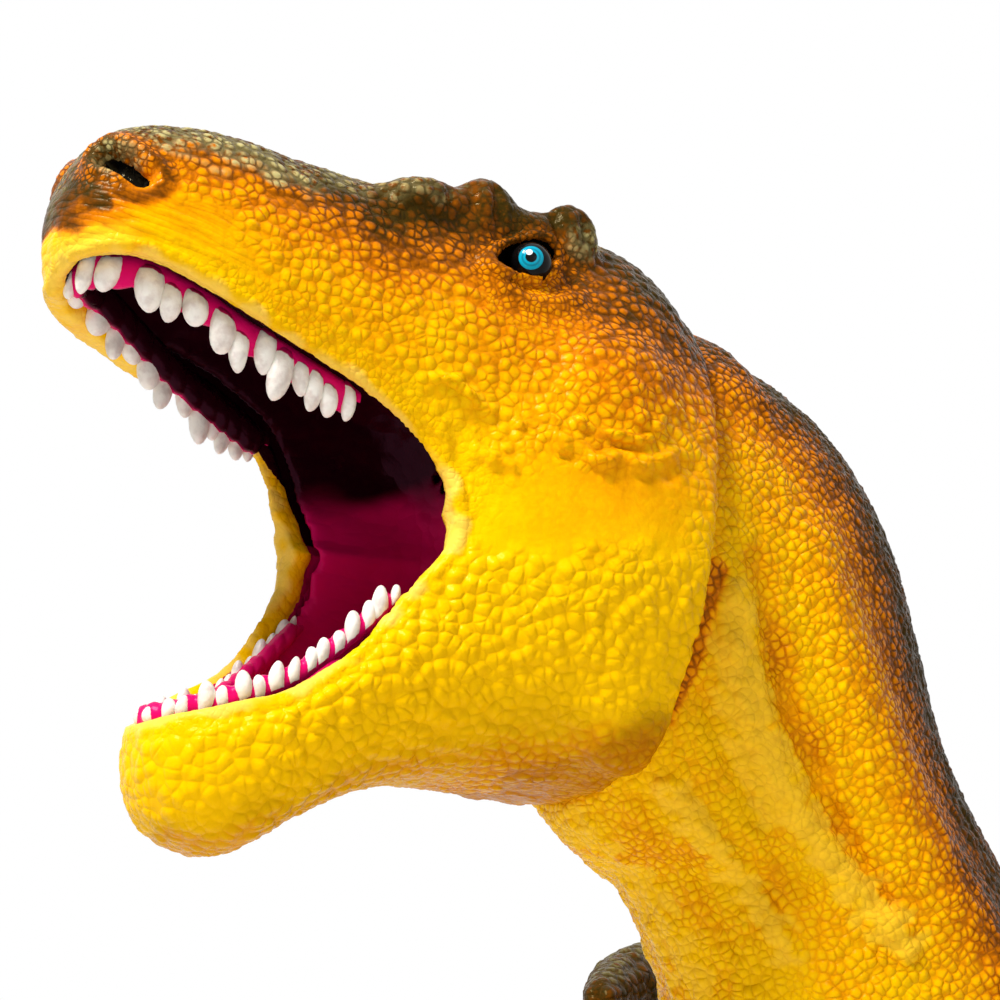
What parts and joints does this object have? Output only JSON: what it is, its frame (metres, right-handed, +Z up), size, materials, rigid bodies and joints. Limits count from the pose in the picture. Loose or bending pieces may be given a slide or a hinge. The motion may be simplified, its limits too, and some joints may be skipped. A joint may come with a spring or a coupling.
{
  "type": "toy dinosaur figure",
  "caption": "Standing two-legged meat-eating dinosaur toy in hollow vinyl, mouth fixed wide open, with head, tail, arms and legs that turn on push-in plugs.",
  "frame": {"origin": "middle of the bounding box at its bottom, level with the soles", "axes": "+Z up, -Y the way the snout points, +X the figure's left side"},
  "size_m": [0.2202, 0.346, 0.2496],
  "materials": {
    "skin": "soft vinyl, hand painted yellow with orange sides and an olive back, satin",
    "mouth": "glossy magenta paint",
    "teeth": "off-white paint on magenta gums",
    "eye": "glossy turquoise iris round a black pupil",
    "plug": "unpainted black"
  },
  "bodies": {
    "torso": {"body_shell": "skin"},
    "head": {"head_shell": "skin", "mouth_liner": "mouth", "upper_tooth_row": "teeth", "lower_tooth_row": "teeth", "tongue": "mouth", "eye_left": "eye", "eye_right": "eye", "neck_plug": "plug"},
    "tail": {"tail_shell": "skin", "tail_plug": "plug"},
    "left_leg": {"leg_left": "skin", "hip_plug_left": "plug"},
    "right_leg": {"leg_right": "skin", "hip_plug_right": "plug"},
    "left_arm": {"arm_left": "skin", "shoulder_plug_left": "plug"},
    "right_arm": {"arm_right": "skin", "shoulder_plug_right": "plug"}
  },
  "joints": [
    {"name": "neck_turn", "type": "hinge", "parent": "torso", "child": "head", "pos_m": [0.04484, -0.08883, 0.2], "axis": [0, -0.9781, 0.2079], "range_deg": [-25, 25]},
    {"name": "tail_turn", "type": "hinge", "parent": "torso", "child": "tail", "pos_m": [0.04484, 0.10537, 0.1025], "axis": [0, 1, 0], "range_deg": [-15, 15]},
    {"name": "hip_left", "type": "hinge", "parent": "torso", "child": "left_leg", "pos_m": [0.06584, 0.04937, 0.1], "axis": [1, 0, 0], "range_deg": [-15, 15]},
    {"name": "hip_right", "type": "hinge", "parent": "torso", "child": "right_leg", "pos_m": [0.02384, 0.04937, 0.1], "axis": [1, 0, 0], "range_deg": [-15, 15]},
    {"name": "shoulder_left", "type": "hinge", "parent": "torso", "child": "left_arm", "pos_m": [0.06934, -0.02263, 0.108], "axis": [1, 0, 0], "range_deg": [-60, 40]},
    {"name": "shoulder_right", "type": "hinge", "parent": "torso", "child": "right_arm", "pos_m": [0.02034, -0.02263, 0.108], "axis": [1, 0, 0], "range_deg": [-60, 40]}
  ]
}
